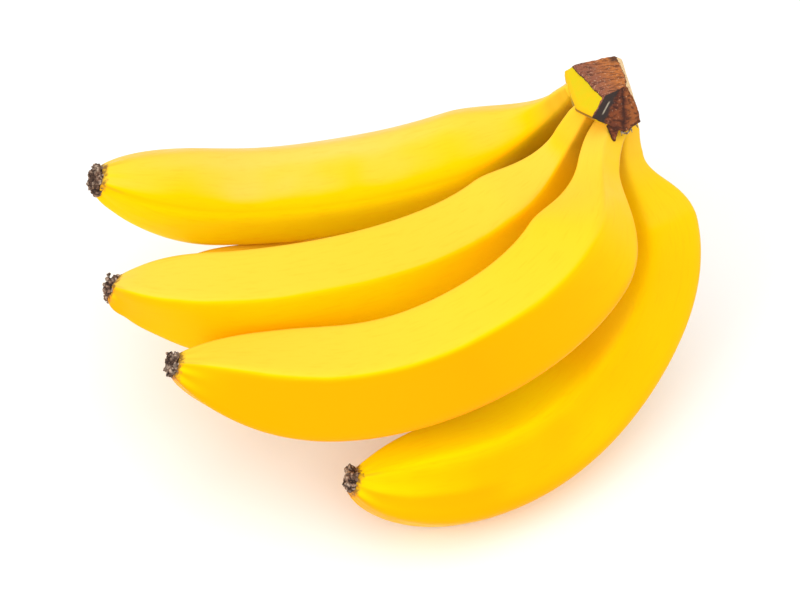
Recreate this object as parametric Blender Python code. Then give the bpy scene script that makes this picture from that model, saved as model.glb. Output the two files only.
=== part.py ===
"""A hand of five ripe bananas, joined at the crown and lying on the backs of its two lower fruits.

Metres, +Z up. The surface it lies on is z = 0. The blossom ends point to -X, the crown is raised at +X,
and -Y is the side that the hand shows first. Fruits 1, 2 and 3 are the upper row, 4 and 5 the lower row.
Lengths in the table of dimensions are millimetres, because that is how fruit is measured.
"""

from math import cos, pi, radians, sin, tau

import bmesh
import bpy
import numpy as np
from mathutils import Vector

MM = 0.001

# Each fruit's middle line runs through seven places at equal steps, from the crown to the blossom end.
# body, neck and tip are half thicknesses. neck_end, body_start and taper_start are shares of the length:
# the neck swells into the body between the first two, and the body narrows to the tip after the third.
# first_side is the angle of one of the five flattish sides, turning from the outside of the bend.
FRUITS = {
    "banana_1": {
        "line": (
            (62, 79.4, 95.5), (43, 84, 71), (13, 80, 59), (-20, 73, 56),
            (-52, 66, 58), (-82, 57.4, 67.3), (-108, 49, 83),
        ),
        "body": 17.6,
        "neck": 4.6,
        "tip": 5.4,
        "neck_end": 0.03,
        "body_start": 0.29,
        "taper_start": 0.73,
        "first_side": 20,
    },
    "banana_2": {
        "line": (
            (65.6, 67, 96), (49, 53, 72), (23, 37, 60), (-9, 24, 57),
            (-42, 16, 56), (-74, 14, 55), (-102, 19, 58),
        ),
        "body": 17.2,
        "neck": 5.2,
        "tip": 5.2,
        "neck_end": 0.04,
        "body_start": 0.25,
        "taper_start": 0.765,
        "first_side": 40,
    },
    "banana_3": {
        "line": (
            (74, 59, 95), (67, 26, 89), (52, -2, 82), (24, -18, 70),
            (-8, -22, 57), (-42, -20, 52), (-77, -19, 61),
        ),
        "body": 18.5,
        "neck": 5.8,
        "tip": 4.4,
        "neck_end": 0.06,
        "body_start": 0.27,
        "taper_start": 0.71,
        "first_side": 40,
    },
    "banana_4": {
        "line": (
            (80.4, 70.3, 86), (88.8, 46, 64), (88, 25, 43), (70, 0, 25),
            (46, -22, 18), (17, -36.4, 19.3), (-16, -42.4, 25.6),
        ),
        "body": 18.4,
        "neck": 5.8,
        "tip": 4.8,
        "neck_end": 0.05,
        "body_start": 0.195,
        "taper_start": 0.78,
        "first_side": 12,
    },
    "banana_5": {
        "line": (
            (70.0, 76.9, 87), (62, 77, 54), (41, 73, 28), (13, 66, 18),
            (-18, 56, 18), (-47, 47.5, 26), (-75, 39.5, 43.5),
        ),
        "body": 17.0,
        "neck": 5.8,
        "tip": 5.0,
        "neck_end": 0.05,
        "body_start": 0.30,
        "taper_start": 0.72,
        "first_side": 36,
    },
}
LYING_ON = ("banana_4", "banana_5")
# The places above and the crown's below are measured from a point under the hand, and moved by this much,
# so that the origin lies on the surface under the middle of the hand's box. The last value sinks the two
# lower bellies into the surface, which flattens them a little.
SHIFT = (1.6, -21.8, -0.4)

SIDES_OF_A_FRUIT = 5
RIDGE_SHARPNESS = 8
RIDGE_MEAN = 1.035
ROOT_SHARE = -0.03  # how far the neck's root reaches into the crown, as a share of the fruit's length
ROOT_NARROWING = 0.65
NECK_CUTTER_END = 0.14
NECK_SWELL = 0.18
TAPER_POWER = 2.35
TAPER_ROUNDING = 0.9

# The dried blossom remains: how far each station lies beyond the peel, and its width beside the peel's end
BLOSSOM_STATIONS = ((0.3, 0.86), (1.0, 1.02), (2.4, 0.95), (3.6, 0.70), (4.4, 0.35))
BLOSSOM_LOBES = 3
BLOSSOM_LOBE_DEPTH = 0.10

# The crown is a cushion of stalk, longest across the two rows, and flattened where it grew against its
# neighbours (the first six planes) or was cut (the last four). Each plane has a place on it and the way
# that it faces.
CROWN_CENTRE = (74.5, 73.7, 99.5)
CROWN_HALF_WIDTH = 21.0
CROWN_HALF_LENGTH = 22.0
CROWN_LONG_AXIS = (0.0, 0.64, -0.77)
LEFT_SIDE = ((59.5, 78.7, 104.0), (-0.97, -0.07, -0.24))
LOWER_LEFT = ((62.5, 64.7, 103.6), (-0.90, -0.20, -0.37))
UNDERSIDE = ((67.2, 59.9, 104.3), (-0.40, -0.58, -0.70))
LOWER_RIGHT = ((86.0, 64.7, 97.1), (0.55, -0.61, -0.57))
PAD = ((72.2, 61.5, 112.6), (-0.70, -0.02, 0.71))
BACK = ((71.0, 86.9, 105.8), (-0.22, 0.97, 0.4))
TOP_CUT = ((72.2, 61.5, 112.6), (-0.16, 0.25, 0.95))
FRONT_CUT = ((72.2, 61.5, 112.6), (0.35, -0.62, 0.58))
RIGHT_CUT = ((80.8, 71.8, 111.5), (0.94, 0.13, 0.30))
RIGHT_END = ((84.9, 69.7, 101.2), (0.97, 0.03, 0.19))
GROWN_SIDES = (LEFT_SIDE, LOWER_LEFT, UNDERSIDE, LOWER_RIGHT, PAD, BACK)
CUTS = (TOP_CUT, FRONT_CUT, RIGHT_CUT, RIGHT_END)
CUT_SKIN = 1.8  # thickness of the dried layer on the top and front cuts
CORE_SWELL = 1.3
GAP = 0.3

RINGS = 34
RING_CROWDING = 0.07  # draws the rings towards the neck and the tip, where the fruit narrows
SIDES = 20
BLOSSOM_SIDES = 12
CROWN_SEGMENTS = 24
CROWN_RINGS = 14
SHARP_ANGLE = 35  # degrees: edges that turn more than this stay crisp

PEEL_YELLOW = (0.95, 0.66, 0.02, 1.0)
CROWN_YELLOW = (0.86, 0.66, 0.02, 1.0)
DRIED_BROWN = (0.20, 0.07, 0.02, 1.0)
BLOSSOM_BROWN = (0.10, 0.06, 0.04, 1.0)
SKIN_ROUGHNESS = 0.45
DRIED_ROUGHNESS = 0.85


def clear_scene():
    for obj in list(bpy.data.objects):
        bpy.data.objects.remove(obj)


def make_material(name, colour, roughness):
    material = bpy.data.materials.new(name)
    material.use_nodes = True
    shader = material.node_tree.nodes["Principled BSDF"]
    shader.inputs["Base Color"].default_value = colour
    shader.inputs["Roughness"].default_value = roughness
    shader.inputs["Metallic"].default_value = 0.0
    return material


def face_outwards(shape):
    bmesh.ops.recalc_face_normals(shape, faces=shape.faces[:])
    if shape.calc_volume(signed=True) < 0:
        bmesh.ops.reverse_faces(shape, faces=shape.faces[:])


def make_object(name, shape, material):
    """One named object from a bmesh, shaded smooth but for its sharp edges."""
    face_outwards(shape)
    mesh = bpy.data.meshes.new(name)
    shape.to_mesh(mesh)
    shape.free()
    mesh.shade_smooth()
    mesh.set_sharp_from_angle(angle=radians(SHARP_ANGLE))
    mesh.materials.append(material)
    obj = bpy.data.objects.new(name, mesh)
    bpy.context.collection.objects.link(obj)
    return obj


def at(place):
    """A measured place in millimetres as a point of the model."""
    return (Vector(place) + Vector(SHIFT)) * MM


def ease(start, end, value):
    """0 before start, 1 after end, with a smooth rise between them."""
    step = min(max((value - start) / (end - start), 0.0), 1.0)
    return step * step * (3 - 2 * step)


def middle_line(fruit):
    """The smooth curve through the fruit's seven places, as a function of the share of its length."""
    places = np.array([at(place) for place in fruit["line"]])
    degree = len(places) - 1
    curve = np.polyfit(np.linspace(0, 1, len(places)), places, degree)
    slopes = [np.polyder(curve[:, axis]) for axis in range(3)]

    def place(share):
        return Vector([np.polyval(curve[:, axis], share) for axis in range(3)])

    def heading(share):
        return Vector([np.polyval(slope, share) for slope in slopes]).normalized()

    return place, heading


def half_thickness(fruit, share):
    if share < 0:
        return fruit["neck"] * MM * (1 - (1 - ROOT_NARROWING) * ease(0, ROOT_SHARE, share))
    swelling = ease(fruit["neck_end"], fruit["body_start"], share)
    neck = fruit["neck"] * (1 + NECK_SWELL * min(share / fruit["neck_end"], 1))
    full = neck + (fruit["body"] - neck) * swelling
    along_taper = max(0.0, (share - fruit["taper_start"]) / (1 - fruit["taper_start"]))
    tapering = (1 - min(along_taper, 1) ** TAPER_POWER) ** TAPER_ROUNDING
    return MM * (fruit["tip"] + (full - fruit["tip"]) * tapering)


def side_reach(angle, first_side):
    """How far a section with five flattish sides and soft ridges reaches, beside a circle's 1."""
    total = 0.0
    for side in range(SIDES_OF_A_FRUIT):
        facing = cos(angle - radians(first_side) - side * tau / SIDES_OF_A_FRUIT)
        total += max(facing, 0.0) ** RIDGE_SHARPNESS
    return total ** (-1 / RIDGE_SHARPNESS) / RIDGE_MEAN


def section_axes(place, heading, share):
    """Two directions across the fruit: to the outside of its bend, and out of the plane of the bend."""
    start, middle, end = place(0), place(0.5), place(1)
    out_of_plane = (middle - start).cross(end - middle).normalized()
    if out_of_plane.dot(Vector(CROWN_LONG_AXIS)) > 0:
        out_of_plane = -out_of_plane
    forward = heading(share)
    across = (out_of_plane - out_of_plane.dot(forward) * forward).normalized()
    outside = across.cross(forward)
    # The side that faces out of the bend half way along is called the outside for the whole length.
    if out_of_plane.cross(heading(0.5)).dot(middle - (start + end) / 2) < 0:
        outside = -outside
    return outside, across


def ring_points(fruit, share, sides, grow=0.0):
    place, heading = middle_line(fruit)
    outside, across = section_axes(place, heading, share)
    reach = half_thickness(fruit, share)
    points = []
    for side in range(sides):
        angle = radians(fruit["first_side"]) + tau * side / sides
        radius = reach * side_reach(angle, fruit["first_side"]) + grow
        points.append(place(share) + radius * (cos(angle) * outside + sin(angle) * across))
    return points


def skin_over(rings):
    """A closed surface through rings of points, with a flat face over each end."""
    shape = bmesh.new()
    loops = [[shape.verts.new(point) for point in ring] for ring in rings]
    sides = len(loops[0])
    for near, far in zip(loops, loops[1:]):
        for side in range(sides):
            following = (side + 1) % sides
            shape.faces.new((near[side], near[following], far[following], far[side]))
    shape.faces.new(loops[0])
    shape.faces.new(loops[-1])
    return shape


def ring_shares():
    """Shares of the length for the rings, closer together near the neck and the tip."""
    for ring in range(RINGS):
        even = ring / (RINGS - 1)
        crowded = even - RING_CROWDING * sin(tau * even) / pi
        yield ROOT_SHARE + (1 - ROOT_SHARE) * crowded


def slice_off(shape, place, direction):
    """Removes what lies beyond a plane and closes the cut with flat faces."""
    everything = shape.verts[:] + shape.edges[:] + shape.faces[:]
    bmesh.ops.bisect_plane(shape, geom=everything, plane_co=place, plane_no=direction, clear_outer=True)
    open_edges = [edge for edge in shape.edges if edge.is_boundary]
    bmesh.ops.holes_fill(shape, edges=open_edges, sides=0)


def make_fruit(name, fruit, material):
    shape = skin_over([ring_points(fruit, share, SIDES) for share in ring_shares()])
    if name in LYING_ON:
        slice_off(shape, Vector((0, 0, 0)), Vector((0, 0, -1)))
    return make_object(name, shape, material)


def make_blossom_tip(name, fruit, material):
    """The dried stub of the flower, a little lobed, just beyond the end of the peel."""
    place, heading = middle_line(fruit)
    outside, across = section_axes(place, heading, 1)
    rings = []
    for distance, width in BLOSSOM_STATIONS:
        centre = place(1) + heading(1) * distance * MM
        ring = []
        for side in range(BLOSSOM_SIDES):
            angle = tau * side / BLOSSOM_SIDES
            lobes = 1 + BLOSSOM_LOBE_DEPTH * cos(BLOSSOM_LOBES * angle + fruit["first_side"])
            radius = fruit["tip"] * MM * width * lobes
            ring.append(centre + radius * (cos(angle) * outside + sin(angle) * across))
        rings.append(ring)
    return make_object(name, skin_over(rings), material)


def plane_of(cut, deeper=0.0):
    """A cut's place and direction, moved into the crown by so many millimetres."""
    direction = Vector(cut[1]).normalized()
    return at(cut[0]) - direction * deeper * MM, direction


def cushion(swell=1.0):
    """The crown's rounded body before it is cut."""
    shape = bmesh.new()
    bmesh.ops.create_uvsphere(shape, u_segments=CROWN_SEGMENTS, v_segments=CROWN_RINGS, radius=1)
    width = CROWN_HALF_WIDTH * MM * swell
    length = CROWN_HALF_LENGTH * MM * swell
    bmesh.ops.scale(shape, vec=(width, width, length), verts=shape.verts)
    turn = Vector((0, 0, 1)).rotation_difference(Vector(CROWN_LONG_AXIS)).to_matrix()
    bmesh.ops.rotate(shape, cent=(0, 0, 0), matrix=turn, verts=shape.verts)
    bmesh.ops.translate(shape, vec=at(CROWN_CENTRE), verts=shape.verts)
    return shape


def cut_cushion(planes, deeper, swell=1.0):
    """The cushion, sliced by each plane; the brown cuts lie deeper in it by so many millimetres."""
    shape = cushion(swell)
    for plane in planes:
        slice_off(shape, *plane_of(plane, deeper if plane in (TOP_CUT, FRONT_CUT) else 0))
    return shape


def make_helper(name, shape):
    """A cutter that the Boolean modifiers use and that isn't part of the object."""
    face_outwards(shape)
    mesh = bpy.data.meshes.new(name)
    shape.to_mesh(mesh)
    shape.free()
    helper = bpy.data.objects.new(name, mesh)
    bpy.context.collection.objects.link(helper)
    helper.display_type = "WIRE"
    helper.hide_render = True
    return helper


def neck_cutter(name, fruit):
    """The first part of a fruit's neck, larger all round by the gap."""
    place, heading = middle_line(fruit)
    shares = [share for share in ring_shares() if share < NECK_CUTTER_END]
    rings = [ring_points(fruit, share, SIDES, GAP * MM) for share in shares]
    rings[0] = [point - heading(ROOT_SHARE) * GAP * MM for point in rings[0]]
    return make_helper(name + "_neck_cutter", skin_over(rings))


def cut_away(obj, cutters):
    for cutter in cutters:
        modifier = obj.modifiers.new("Clear of " + cutter.name, "BOOLEAN")
        modifier.operation = "DIFFERENCE"
        modifier.solver = "EXACT"
        modifier.object = cutter


def make_crown(necks, rind, dried):
    """The crown with its yellow rind, and the dried brown layer on its top and front cuts."""
    every_plane = GROWN_SIDES + CUTS
    crown = make_object("crown", cut_cushion(every_plane, CUT_SKIN + GAP / 2), rind)
    cut_away(crown, necks)
    dried_cut = make_object("crown_cut", cut_cushion(every_plane, 0), dried)
    core_shape = cut_cushion((TOP_CUT, FRONT_CUT), CUT_SKIN - GAP / 2, CORE_SWELL)
    core = make_helper("crown_core_cutter", core_shape)
    cut_away(dried_cut, [core] + necks)


def main():
    clear_scene()
    peel = make_material("banana peel", PEEL_YELLOW, SKIN_ROUGHNESS)
    rind = make_material("crown rind", CROWN_YELLOW, SKIN_ROUGHNESS)
    dried = make_material("dried cut", DRIED_BROWN, DRIED_ROUGHNESS)
    blossom = make_material("dried blossom", BLOSSOM_BROWN, DRIED_ROUGHNESS)
    necks = []
    for name, fruit in FRUITS.items():
        make_fruit(name, fruit, peel)
        make_blossom_tip(name.replace("banana", "blossom_tip"), fruit, blossom)
        necks.append(neck_cutter(name, fruit))
    make_crown(necks, rind, dried)


main()
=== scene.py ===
# %% [markdown]
# # A hand of ripe bananas
#
# Bananas grow in rows that are called hands. Five fruits here are still joined to one piece of stalk, the
# crown, and lie on a table on the backs of the two lower fruits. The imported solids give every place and
# size. This lesson gives the hand its skin: fine fruits with soft ridges, dried blossom ends, a crown with a
# freshly dried cut, and finishes made from nodes.
#
# Lengths are in metres, as Blender counts. Fruit is measured in millimetres, and MM turns one into the other.

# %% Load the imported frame
from math import cos, pi, radians, sin, tau

import bpy
import numpy as np
from mathutils import Matrix, Vector, noise


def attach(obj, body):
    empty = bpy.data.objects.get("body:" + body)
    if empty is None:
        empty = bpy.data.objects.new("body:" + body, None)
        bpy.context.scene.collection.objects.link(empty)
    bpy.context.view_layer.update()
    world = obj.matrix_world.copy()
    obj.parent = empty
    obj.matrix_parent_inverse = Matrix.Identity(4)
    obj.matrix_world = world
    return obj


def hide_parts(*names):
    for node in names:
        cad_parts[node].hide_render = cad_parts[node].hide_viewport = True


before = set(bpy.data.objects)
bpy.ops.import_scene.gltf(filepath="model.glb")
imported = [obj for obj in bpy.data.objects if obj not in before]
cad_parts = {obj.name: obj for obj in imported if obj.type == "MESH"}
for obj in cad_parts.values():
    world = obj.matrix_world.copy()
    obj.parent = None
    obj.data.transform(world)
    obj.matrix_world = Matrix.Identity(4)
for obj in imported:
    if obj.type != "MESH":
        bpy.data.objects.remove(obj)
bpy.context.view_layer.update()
MM = 0.001
print("nodes:", ", ".join(sorted(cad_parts)))

# %% [markdown]
# ## The lines that the fruits grow along
#
# A banana is a bent, tapering tube, and its bend isn't in one plane. It could be drawn by bending a straight
# tube, but then its places can't be given. Here each fruit has a middle line through seven places from the
# crown to the blossom end, and one polynomial passes through all seven, so that nothing kinks. The places are
# measured from a point under the hand, and SHIFT moves them to the frame's origin.
#
# The table holds all that makes one fruit different from the next:
# - line: the seven places, in millimetres;
# - neck, body, tip: half the thickness there, in millimetres;
# - neck_end, body_start, taper_start: the shares of the length where the neck ends, where the body is full,
#   and where the taper starts;
# - first_side, sharpness: the angle of the first flat side in degrees, and how sharp the ridges are;
# - root_flare, root_width: how much the neck widens under the crown, and how wide its root is inside it;
# - ridge_turn: how far the ridges have turned at four shares of the length, in degrees;
# - slant: how much the outside of the bend is planed down before the blossom end;
# - three tints of the peel, at five shares of the length: painted light on its upper side, painted shade down
#   its sides, and a painted fill light that turns lemon the sides which neighbouring fruits shade;
# - the sides of that fill light: how far down its sides a fruit starts to take the painted fill light, and
#   where it takes it fully. The front fruit takes it on its upper side, which the fruit above shades, so its
#   two numbers run the other way.

# %% Seven places, thickness, ridges and tints of each fruit
SHIFT = (1.6, -21.8, -0.4)
TURN_SHARES = (0, 1 / 3, 2 / 3, 1)
COLOUR_SHARES = (0, 0.25, 0.5, 0.75, 1)
FRUITS = {
    "banana_1": {
        "line": (
            (62, 79.4, 95.5), (43, 84, 71), (13, 80, 59), (-20, 73, 56),
            (-52, 66, 58), (-82, 57.4, 67.3), (-108, 49, 83),
        ),
        "body": 17.6, "neck": 4.6, "tip": 5.4, "neck_end": 0.03, "body_start": 0.29, "taper_start": 0.73,
        "first_side": 20, "sharpness": 7, "root_flare": 0.0, "root_width": 0.75,
        "ridge_turn": (0, 0, 0, 0), "slant": 0.12,
        "painted_light": (0.3, 0.4, 0.8, 0.7, 0.25),
        "painted_shade": (0.6, 0.3, 0.0, 0.0, 0.6),
        "painted_fill": (0.3, 0.6, 0.7, 0.7, 0.2), "painted_fill_sides": (0.4, 0.6),
    },
    "banana_2": {
        "line": (
            (65.6, 67, 96), (49, 53, 72), (23, 37, 60), (-9, 24, 57),
            (-42, 16, 56), (-74, 14, 55), (-102, 19, 58),
        ),
        "body": 17.2, "neck": 5.2, "tip": 5.2, "neck_end": 0.04, "body_start": 0.25, "taper_start": 0.765,
        "first_side": 40, "sharpness": 13, "root_flare": 0.2, "root_width": 0.8,
        "ridge_turn": (14, 18, 20, 28), "slant": 0.26,
        "painted_light": (0.45, 0.35, 0.3, 0.35, 0.5),
        "painted_shade": (0.6, 0.3, 0.0, 0.4, 1.0),
        "painted_fill": (0.2, 0.3, 0.4, 0.1, 0.0), "painted_fill_sides": (0.4, 0.6),
    },
    "banana_3": {
        "line": (
            (74, 59, 95), (67, 26, 89), (52, -2, 82), (24, -18, 70),
            (-8, -22, 57), (-42, -20, 52), (-77, -19, 61),
        ),
        "body": 18.5, "neck": 5.8, "tip": 4.4, "neck_end": 0.06, "body_start": 0.27, "taper_start": 0.725,
        "first_side": 40, "sharpness": 15, "root_flare": 0.2, "root_width": 0.98,
        "ridge_turn": (8, -3, -2, 12), "slant": 0.0,
        "painted_light": (0.35, 0.15, 0.25, 0.3, 0.3),
        "painted_shade": (0.3, 0.5, 1.0, 1.0, 1.0),
        "painted_fill": (0.0, 0.0, 0.0, 0.0, 0.0), "painted_fill_sides": (0.4, 0.6),
    },
    "banana_4": {
        "line": (
            (80.4, 70.3, 86), (87.8, 46, 64), (87.1, 25, 43), (70, 0, 25),
            (46, -22, 18), (17, -36.4, 19.3), (-16, -42.4, 25.6),
        ),
        "body": 18.4, "neck": 6.4, "tip": 4.8, "neck_end": 0.03, "body_start": 0.185, "taper_start": 0.78,
        "first_side": 12, "sharpness": 11, "root_flare": 0.0, "root_width": 0.58,
        "ridge_turn": (-21, -5, 2, -2), "slant": 0.0,
        "painted_light": (0.0, 0.1, 0.0, 0.0, 0.0),
        "painted_shade": (0.5, 0.2, 0.5, 0.8, 0.9),
        "painted_fill": (0.0, 0.3, 0.9, 0.9, 0.6), "painted_fill_sides": (0.13, 0.02),
    },
    "banana_5": {
        "line": (
            (70.0, 76.9, 87), (62, 77, 54), (41, 73, 28), (13, 66, 18),
            (-18, 56, 18), (-47, 47.5, 26), (-77.2, 40.2, 44.2),
        ),
        "body": 17.0, "neck": 5.8, "tip": 5.0, "neck_end": 0.05, "body_start": 0.30, "taper_start": 0.72,
        "first_side": 36, "sharpness": 12, "root_flare": 0.4, "root_width": 0.8,
        "ridge_turn": (0, 0, 0, 0), "slant": 0.0,
        "painted_light": (0.2, 0.2, 0.2, 0.2, 0.2),
        "painted_shade": (0.4, 0.4, 0.4, 0.4, 0.4),
        "painted_fill": (0.3, 0.3, 0.3, 0.3, 0.3), "painted_fill_sides": (0.4, 0.6),
    },
}
print(len(FRUITS), "fruits in the hand")


# %% From a measured place to the frame, and a line through seven places
def at(place):
    """A measured place in millimetres as a point of the frame."""
    return (Vector(place) + Vector(SHIFT)) * MM


def as_measured(points):
    """Points of the frame as measured places in millimetres."""
    return points / MM - np.array(SHIFT)


def middle_line(fruit):
    """The place and the heading at any share of the fruit's length."""
    places = np.array([at(place) for place in fruit["line"]])
    curve = np.polyfit(np.linspace(0, 1, len(places)), places, len(places) - 1)
    slopes = [np.polyder(curve[:, axis]) for axis in range(3)]

    def place(share):
        return Vector([np.polyval(curve[:, axis], share) for axis in range(3)])

    def heading(share):
        return Vector([np.polyval(slope, share) for slope in slopes]).normalized()

    return place, heading


for name, fruit in FRUITS.items():
    place, heading = middle_line(fruit)
    steps = [place(step / 100) for step in range(101)]
    length = sum((b - a).length for a, b in zip(steps, steps[1:]))
    print(name, round(length / MM), "mm along the bend,", round(2 * fruit["body"]), "mm thick")

# %% [markdown]
# ## The section of a fruit
#
# A banana is not round. It grows pressed against its neighbours, so its section has five flattish sides with
# soft ridges between them. A superellipse could give four sides. Five need another rule: each side holds the
# skin back by how squarely it faces a direction, and a high power makes the nearest side win.

# %% Thickness along the fruit and reach round it
SIDES_OF_A_FRUIT = 5
SECTION_SIZE = 1.02  # mean reach of a section, beside the half thickness
ALL_ROUND = np.linspace(0, tau, 720, endpoint=False)
CROWN_LONG_AXIS = Vector((0.0, 0.64, -0.77))
ROOT_SHARE = -0.03  # the root starts this far inside the crown, as a share of the length
FLARE_STARTS, FLARE_FULL, FLARE_ENDS = -0.02, 0.01, 0.06
NECK_SWELL = 0.18
TAPER_POWER = 2.35
TAPER_ROUNDING = 0.9


def ease(start, end, value):
    """0 before start, 1 after end, with a smooth rise between them."""
    step = np.clip((np.asarray(value, float) - start) / (end - start), 0, 1)
    return step * step * (3 - 2 * step)


def bell(distance, width):
    """1 where the distance is 0, falling away on both sides of it."""
    return np.exp(-((distance / width) ** 2))


def half_thickness(fruit, share):
    """Half the fruit's thickness in millimetres. The root narrows inside the crown and flares below it."""
    if share < 0:
        narrowing = 1 - (1 - fruit["root_width"]) * float(ease(0, ROOT_SHARE, share))
        return fruit["neck"] * narrowing + fruit["root_flare"] * float(ease(FLARE_STARTS, 0, share))
    neck = fruit["neck"] * (1 + NECK_SWELL * min(share / fruit["neck_end"], 1))
    neck += fruit["root_flare"] * float(ease(FLARE_ENDS, FLARE_FULL, share))
    full = neck + (fruit["body"] - neck) * float(ease(fruit["neck_end"], fruit["body_start"], share))
    along_taper = min(max((share - fruit["taper_start"]) / (1 - fruit["taper_start"]), 0), 1)
    return fruit["tip"] + (full - fruit["tip"]) * (1 - along_taper**TAPER_POWER) ** TAPER_ROUNDING


def pressed_sides(angles, fruit):
    """The five-sided section: the side that faces an angle most squarely holds the skin back most."""
    total = np.zeros_like(angles)
    for side in range(SIDES_OF_A_FRUIT):
        facing = np.cos(angles - radians(fruit["first_side"]) - side * tau / SIDES_OF_A_FRUIT)
        total += np.maximum(facing, 0) ** fruit["sharpness"]
    return total ** (-1 / fruit["sharpness"])


def ridge_turn(fruit, share):
    """The ridges don't run quite straight: how far they have turned round the fruit, as an angle."""
    turning = np.polyfit(TURN_SHARES, fruit["ridge_turn"], len(TURN_SHARES) - 1)
    return radians(np.polyval(turning, share))


def side_reach(angles, fruit):
    """How far the section reaches at each angle, beside the fruit's half thickness."""
    return SECTION_SIZE * pressed_sides(angles, fruit) / pressed_sides(ALL_ROUND, fruit).mean()


def ridge_nearness(angles, fruit):
    """1 on each ridge, falling to 0 half way to the middle of a side."""
    return np.maximum(0, -np.cos(SIDES_OF_A_FRUIT * (angles - radians(fruit["first_side"])))) ** 2


def section_axes(place, heading, share):
    """Two directions across the fruit: to the outside of its bend, and out of the plane of the bend."""
    start, middle, end = place(0), place(0.5), place(1)
    out_of_plane = (middle - start).cross(end - middle).normalized()
    if out_of_plane.dot(CROWN_LONG_AXIS) > 0:
        out_of_plane = -out_of_plane
    forward = heading(share)
    across = (out_of_plane - out_of_plane.dot(forward) * forward).normalized()
    outside = across.cross(forward)
    if out_of_plane.cross(heading(0.5)).dot(middle - (start + end) / 2) < 0:
        outside = -outside
    return outside, across


for name, fruit in FRUITS.items():
    reach = side_reach(ALL_ROUND, fruit)
    print(name, "reaches", round(reach.min(), 3), "on a side and", round(reach.max(), 3), "on a ridge")

# %% [markdown]
# ## Rings, then a skin between them
#
# The skin is lofted as by hand: circles are added along the middle line in edit mode, each at its place, at
# its size and square to the line, and Bridge Edge Loops joins each to the next. That keeps the quads in
# tidy rows from neck to tip, which a remesh would lose, and the rows give the finish its direction.

# %% Helpers for making a piece
RINGS = 150  # rings along a fruit
ROUND = 100  # points on each ring


def deselect():
    if bpy.context.mode != "OBJECT":
        bpy.ops.object.mode_set(mode="OBJECT")
    bpy.ops.object.select_all(action="DESELECT")


def start_piece(name):
    """An empty mesh, alone in the selection and open in edit mode."""
    deselect()
    piece = bpy.data.objects.new(name, bpy.data.meshes.new(name))
    bpy.context.collection.objects.link(piece)
    bpy.context.view_layer.objects.active = piece
    piece.select_set(True)
    bpy.ops.object.mode_set(mode="EDIT")
    return piece


def points_of(piece):
    flat = np.empty(len(piece.data.vertices) * 3, np.float32)
    piece.data.vertices.foreach_get("co", flat)
    return flat.reshape(-1, 3).astype(float)


def normals_of(piece):
    flat = np.empty(len(piece.data.vertices) * 3, np.float32)
    piece.data.vertices.foreach_get("normal", flat)
    return flat.reshape(-1, 3).astype(float)


def move_points(piece, points):
    piece.data.vertices.foreach_set("co", np.asarray(points, np.float32).ravel())
    piece.data.update()


def keep_value(piece, name, values):
    """Stores one number for each point, for the finish to read."""
    layer = piece.data.attributes.new(name, "FLOAT", "POINT")
    layer.data.foreach_set("value", np.asarray(values, np.float32))


def rough(points, size_mm, seed):
    """Seeded noise from -1 to 1 at each point, with lumps of about this size."""
    offset = Vector((seed * 7.3, seed * 3.1, seed * 5.7))
    return np.array([noise.noise(Vector(point) / (size_mm * MM) + offset) for point in points])


def square_to(outside, across):
    """The turn that gives a primitive these first two axes, so that its third lies along the fruit."""
    return Matrix((outside, across, outside.cross(across))).transposed().to_euler()


def finish_piece(piece, material, slot, *nodes):
    """Faces outward, smooth shading, finish, and the solids that this piece stands for."""
    deselect()
    bpy.context.view_layer.objects.active = piece
    piece.select_set(True)
    bpy.ops.object.mode_set(mode="EDIT")
    bpy.ops.mesh.select_all(action="SELECT")
    bpy.ops.mesh.normals_make_consistent(inside=False)
    bpy.ops.object.mode_set(mode="OBJECT")
    bpy.ops.object.shade_smooth()
    piece.data.materials.clear()
    piece.data.materials.append(material)
    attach(piece, "root")
    if nodes:
        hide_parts(*nodes)
    print(piece.name, len(piece.data.polygons), "faces")
    return piece


# %% [markdown]
# ## Writing finishes
#
# Every finish is a network of nodes on the Principled shader. It could be wired by hand in the shader editor.
# In a script that takes three lines a node, so the little class below adds a node per call and either links
# an input or sets it, and a finish reads as a list of what lies over what.

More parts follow.
